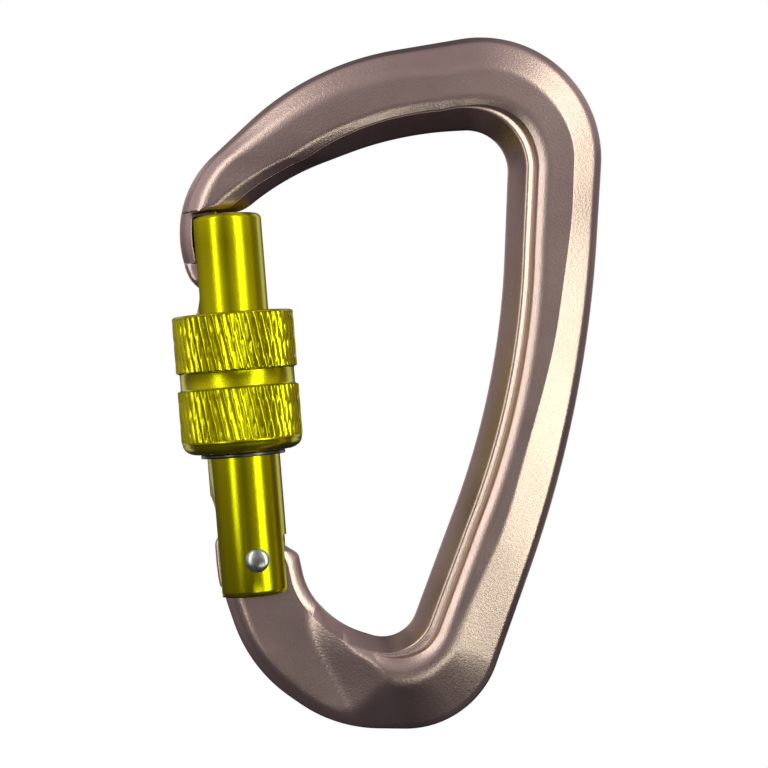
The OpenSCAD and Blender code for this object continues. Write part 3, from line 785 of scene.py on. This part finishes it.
ring_outer, ring_inner, ring_split = 6.05, 4.75, 2.2
ring_mid, ring_half = (ring_low + ring_high) / 2, (ring_high - ring_low) / 2
ring_edge = np.radians(np.linspace(-90, 90, 9))
ring_round = 0.16
split_angle = math.asin(ring_split / 2 / ring_outer)
ring_turn = np.linspace(split_angle, 2 * math.pi - split_angle, 181)
ring_radii = np.concatenate([ring_outer - ring_round + ring_round * np.cos(ring_edge),
                             [ring_inner + 0.05, ring_inner, ring_inner, ring_inner + 0.05]])
outside_heights = ring_mid + np.sign(ring_edge) * (ring_half - ring_round) + ring_round * np.sin(ring_edge)
ring_heights = np.concatenate([outside_heights, [ring_high, ring_high - 0.05, ring_low + 0.05, ring_low]])
ring_points = np.stack([gate_x + ring_radii * np.cos(ring_turn)[:, None],
                        ring_radii * np.sin(ring_turn)[:, None],
                        np.repeat(ring_heights[None], len(ring_turn), 0)], -1)
stop_ring = grid("snap_ring", ring_points, caps=True)
stop_ring.data.materials.append(mottled("dark_spring_steel", (0.09, 0.09, 0.1), 1, 700, 0.16, 0.4)[0])
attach(stop_ring, "stop_ring")
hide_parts("stop_ring")

# --- Locking sleeve -----------------------------------------------------------------
# Turned from aluminium bar: two knurled bands with a plain waist between them, a bevelled foot, and an
# internal thread over its lowest 5.6 mm. Anodised like the gate.

sleeve_r, sleeve_bore, nut_length = 8.7, 6.85, 5.6
band_low, waist_low, waist_high, band_high = 1.9, 9.2, 11.7, sleeve_high - sleeve_low
knurl_lines = 46
lean = math.tan(math.radians(10)) / sleeve_r


def knurl(turn, height):
    """Depth of the knurl, in millimetres, at an angle and a height. V grooves that lean 10 degrees down to
    the right are cut deepest; a fainter set leans the other way, and slow sines make both uneven."""
    uneven = 0.6 * np.sin(7 * turn + 1.1 * height) + 0.4 * np.sin(17 * turn - 0.8 * height + 2)
    strong_phase = knurl_lines * (turn + lean * height) + 0.2 * uneven
    weak_phase = knurl_lines * (turn - 1.3 * lean * height) + 0.7 * uneven
    strong = np.abs((strong_phase / math.pi) % 2 - 1) ** 1.4
    weak = np.abs((weak_phase / math.pi) % 2 - 1) ** 2.5
    return (0.27 + 0.03 * uneven) * strong + (0.05 + 0.03 * uneven) * weak


def sleeve_points(turn):
    """Closed skin of the sleeve: a section line run up the outside and down the inside, turned about the
    gate's axis. The knurl is taken off the bands, and the thread is taken out of the foot's bore.
    Over the outside, the columns lean with the knurl's grooves."""
    bevel = np.radians(np.linspace(0, 90, 7))
    line = [
        (6.45 + 2.1 * np.sin(bevel), 1.6 * (1 - np.cos(bevel)), 0, 0),
        (np.full(3, sleeve_r - 0.1), np.array([1.65, 1.75, 1.85]), 0, 0),
        (np.full(30, sleeve_r), np.linspace(band_low, waist_low - 0.15, 30), 1, 0),
        (np.array([sleeve_r, 8.42, 8.27, 8.2, 8.2, 8.27, 8.42]),
         np.array([waist_low - 0.12, waist_low, waist_low + 0.08, waist_low + 0.25, waist_high - 0.25,
                   waist_high - 0.08, waist_high]), 0, 0),
        (np.full(32, sleeve_r), np.linspace(waist_high + 0.12, band_high - 0.35, 32), 1, 0),
        (np.array([sleeve_r - 0.02, sleeve_r - 0.12, sleeve_r - 0.3, sleeve_bore + 0.3, sleeve_bore]),
         np.array([band_high - 0.3, band_high - 0.1, band_high, band_high, band_high - 0.3]), 0, 0),
        (np.full(2, sleeve_bore), np.array([band_high - 1, nut_length + 0.05]), 0, 0),
        (np.full(28, thread_root + 0.2), np.linspace(nut_length, 0.02, 28), 0, 1),
        (np.array([6.3]), np.array([0.0]), 0, 0)]
    radius = np.concatenate([part[0] for part in line])[:, None]
    height = np.concatenate([part[1] for part in line])
    cut = np.concatenate([np.full(len(part[0]), part[2]) for part in line])[:, None]
    nut = np.concatenate([np.full(len(part[0]), part[3]) for part in line])[:, None]
    leaning = turn - lean * height[:, None]
    radius = radius - cut * knurl(leaning, height[:, None]) + nut * thread_depth * thread_wave(
        height + sleeve_low, leaning)
    return np.stack([gate_x + radius * np.cos(leaning), radius * np.sin(leaning),
                     np.repeat(height[:, None] + sleeve_low, len(turn), 1)], -1)


sleeve = grid("knurled_sleeve", sleeve_points(np.linspace(0, 2 * math.pi, 792, endpoint=False)),
              close_rows=True, sharp=40)
sleeve_skin = anodised("sleeve_anodised", (0.45, 0.405, 0.004), (0.52, 0.47, 0.006), 0.21, 0.3, 2600, 0.3)
sleeve.data.materials.append(sleeve_skin)
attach(sleeve, "sleeve")
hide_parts("locking_sleeve")
